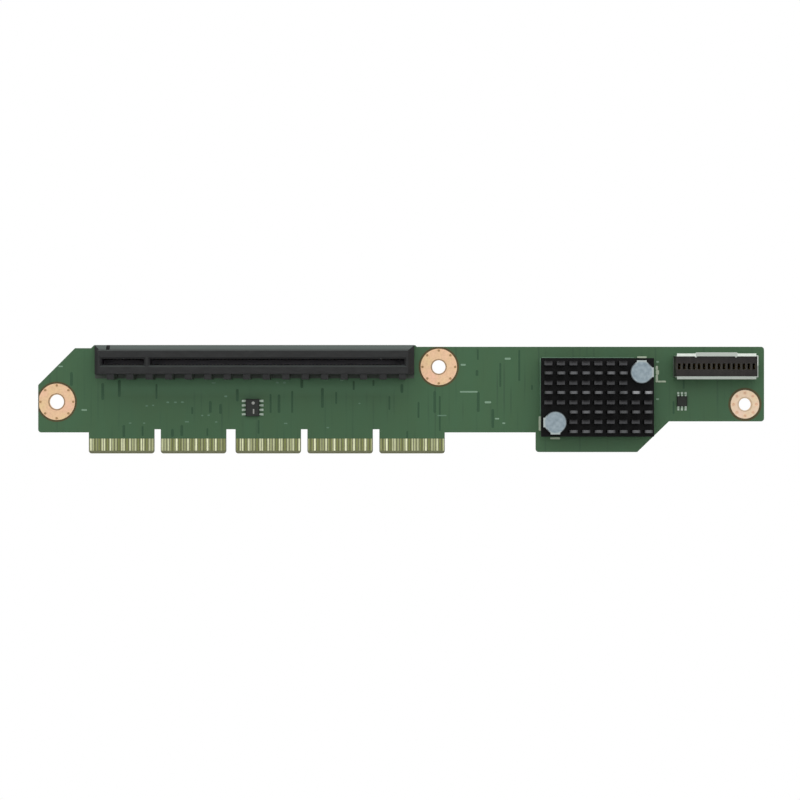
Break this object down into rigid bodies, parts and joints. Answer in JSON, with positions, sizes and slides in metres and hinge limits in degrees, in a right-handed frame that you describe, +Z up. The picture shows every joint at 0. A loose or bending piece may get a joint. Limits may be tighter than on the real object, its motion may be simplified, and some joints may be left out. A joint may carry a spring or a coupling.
{
  "type": "pcie riser card",
  "caption": "Long low circuit board with a card slot connector on its face, a row of gold edge tabs below, a finned heatsink and a shielded cable connector.",
  "frame": {"origin": "centre of the middle screw hole, on the board's component face", "axes": "+X along the card towards the cable connector, +Z up with the edge tabs pointing down, -Y out of the component face"},
  "size_m": [0.2071, 0.0159, 0.0309],
  "materials": {
    "laminate": "solder mask",
    "gold": "hard gold plate",
    "pad_copper": "matt plate",
    "black_moulding": "moulded",
    "heatsink_black": "black anodised",
    "substrate": "laminate",
    "lid_metal": "nickel plated",
    "thermal_pad": "soft",
    "pin_nylon": "moulded",
    "spring_steel": "drawn",
    "shell_steel": "nickel plated",
    "chip_epoxy": "moulded",
    "lead_tin": "tin plated",
    "ceramic_body": "fired"
  },
  "bodies": {
    "root": {"circuit_board": "laminate", "edge_fingers_front": "gold", "edge_fingers_back": "gold", "left_screw_pads": "pad_copper", "middle_screw_pads": "pad_copper", "right_screw_pads": "pad_copper", "slot_housing": "black_moulding", "slot_contacts_upper": "gold", "slot_contacts_lower": "gold", "retimer_substrate": "substrate", "retimer_lid": "lid_metal", "thermal_pad": "thermal_pad", "heatsink": "heatsink_black", "upper_push_pin": "pin_nylon", "lower_push_pin": "pin_nylon", "upper_pin_spring": "spring_steel", "lower_pin_spring": "spring_steel", "cable_connector_shell": "shell_steel", "cable_connector_insulator": "black_moulding", "cable_contacts_upper": "gold", "cable_contacts_lower": "gold", "memory_chip_body": "chip_epoxy", "memory_chip_leads": "lead_tin", "small_chip_body": "chip_epoxy", "small_chip_leads": "lead_tin", "capacitor_bodies": "ceramic_body", "capacitor_ends": "lead_tin"}
  },
  "joints": []
}
